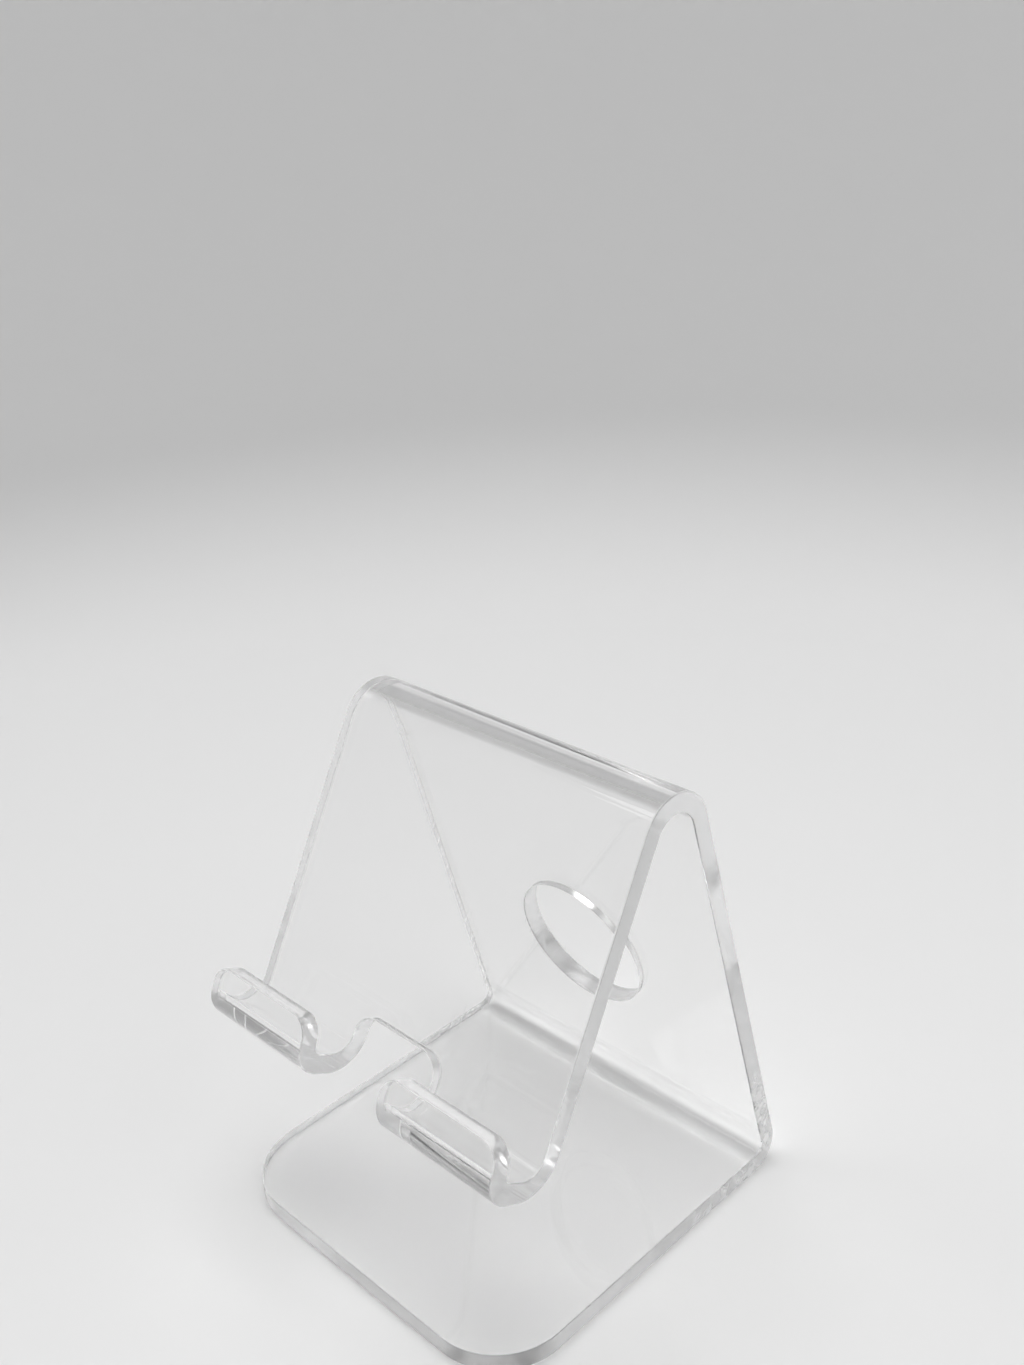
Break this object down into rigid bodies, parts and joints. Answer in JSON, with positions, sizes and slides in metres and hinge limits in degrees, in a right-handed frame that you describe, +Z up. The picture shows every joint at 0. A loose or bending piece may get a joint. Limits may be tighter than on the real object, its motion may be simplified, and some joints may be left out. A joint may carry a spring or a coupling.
{
  "type": "phone stand",
  "caption": "Desk phone stand bent from one clear acrylic sheet: rounded base, leg with a cable hole, sloping back rest and a split front lip.",
  "frame": {"origin": "on the table, under the middle of the stand's width and of its front-to-back depth", "axes": "+Z up from the table; the phone faces -Y, and the leg with the cable hole is at +Y; X runs across the width"},
  "size_m": [0.08, 0.08, 0.0985],
  "materials": {
    "clear_acrylic": "clear polished acrylic"
  },
  "bodies": {
    "root": {"bent_sheet": "clear_acrylic"}
  },
  "joints": []
}
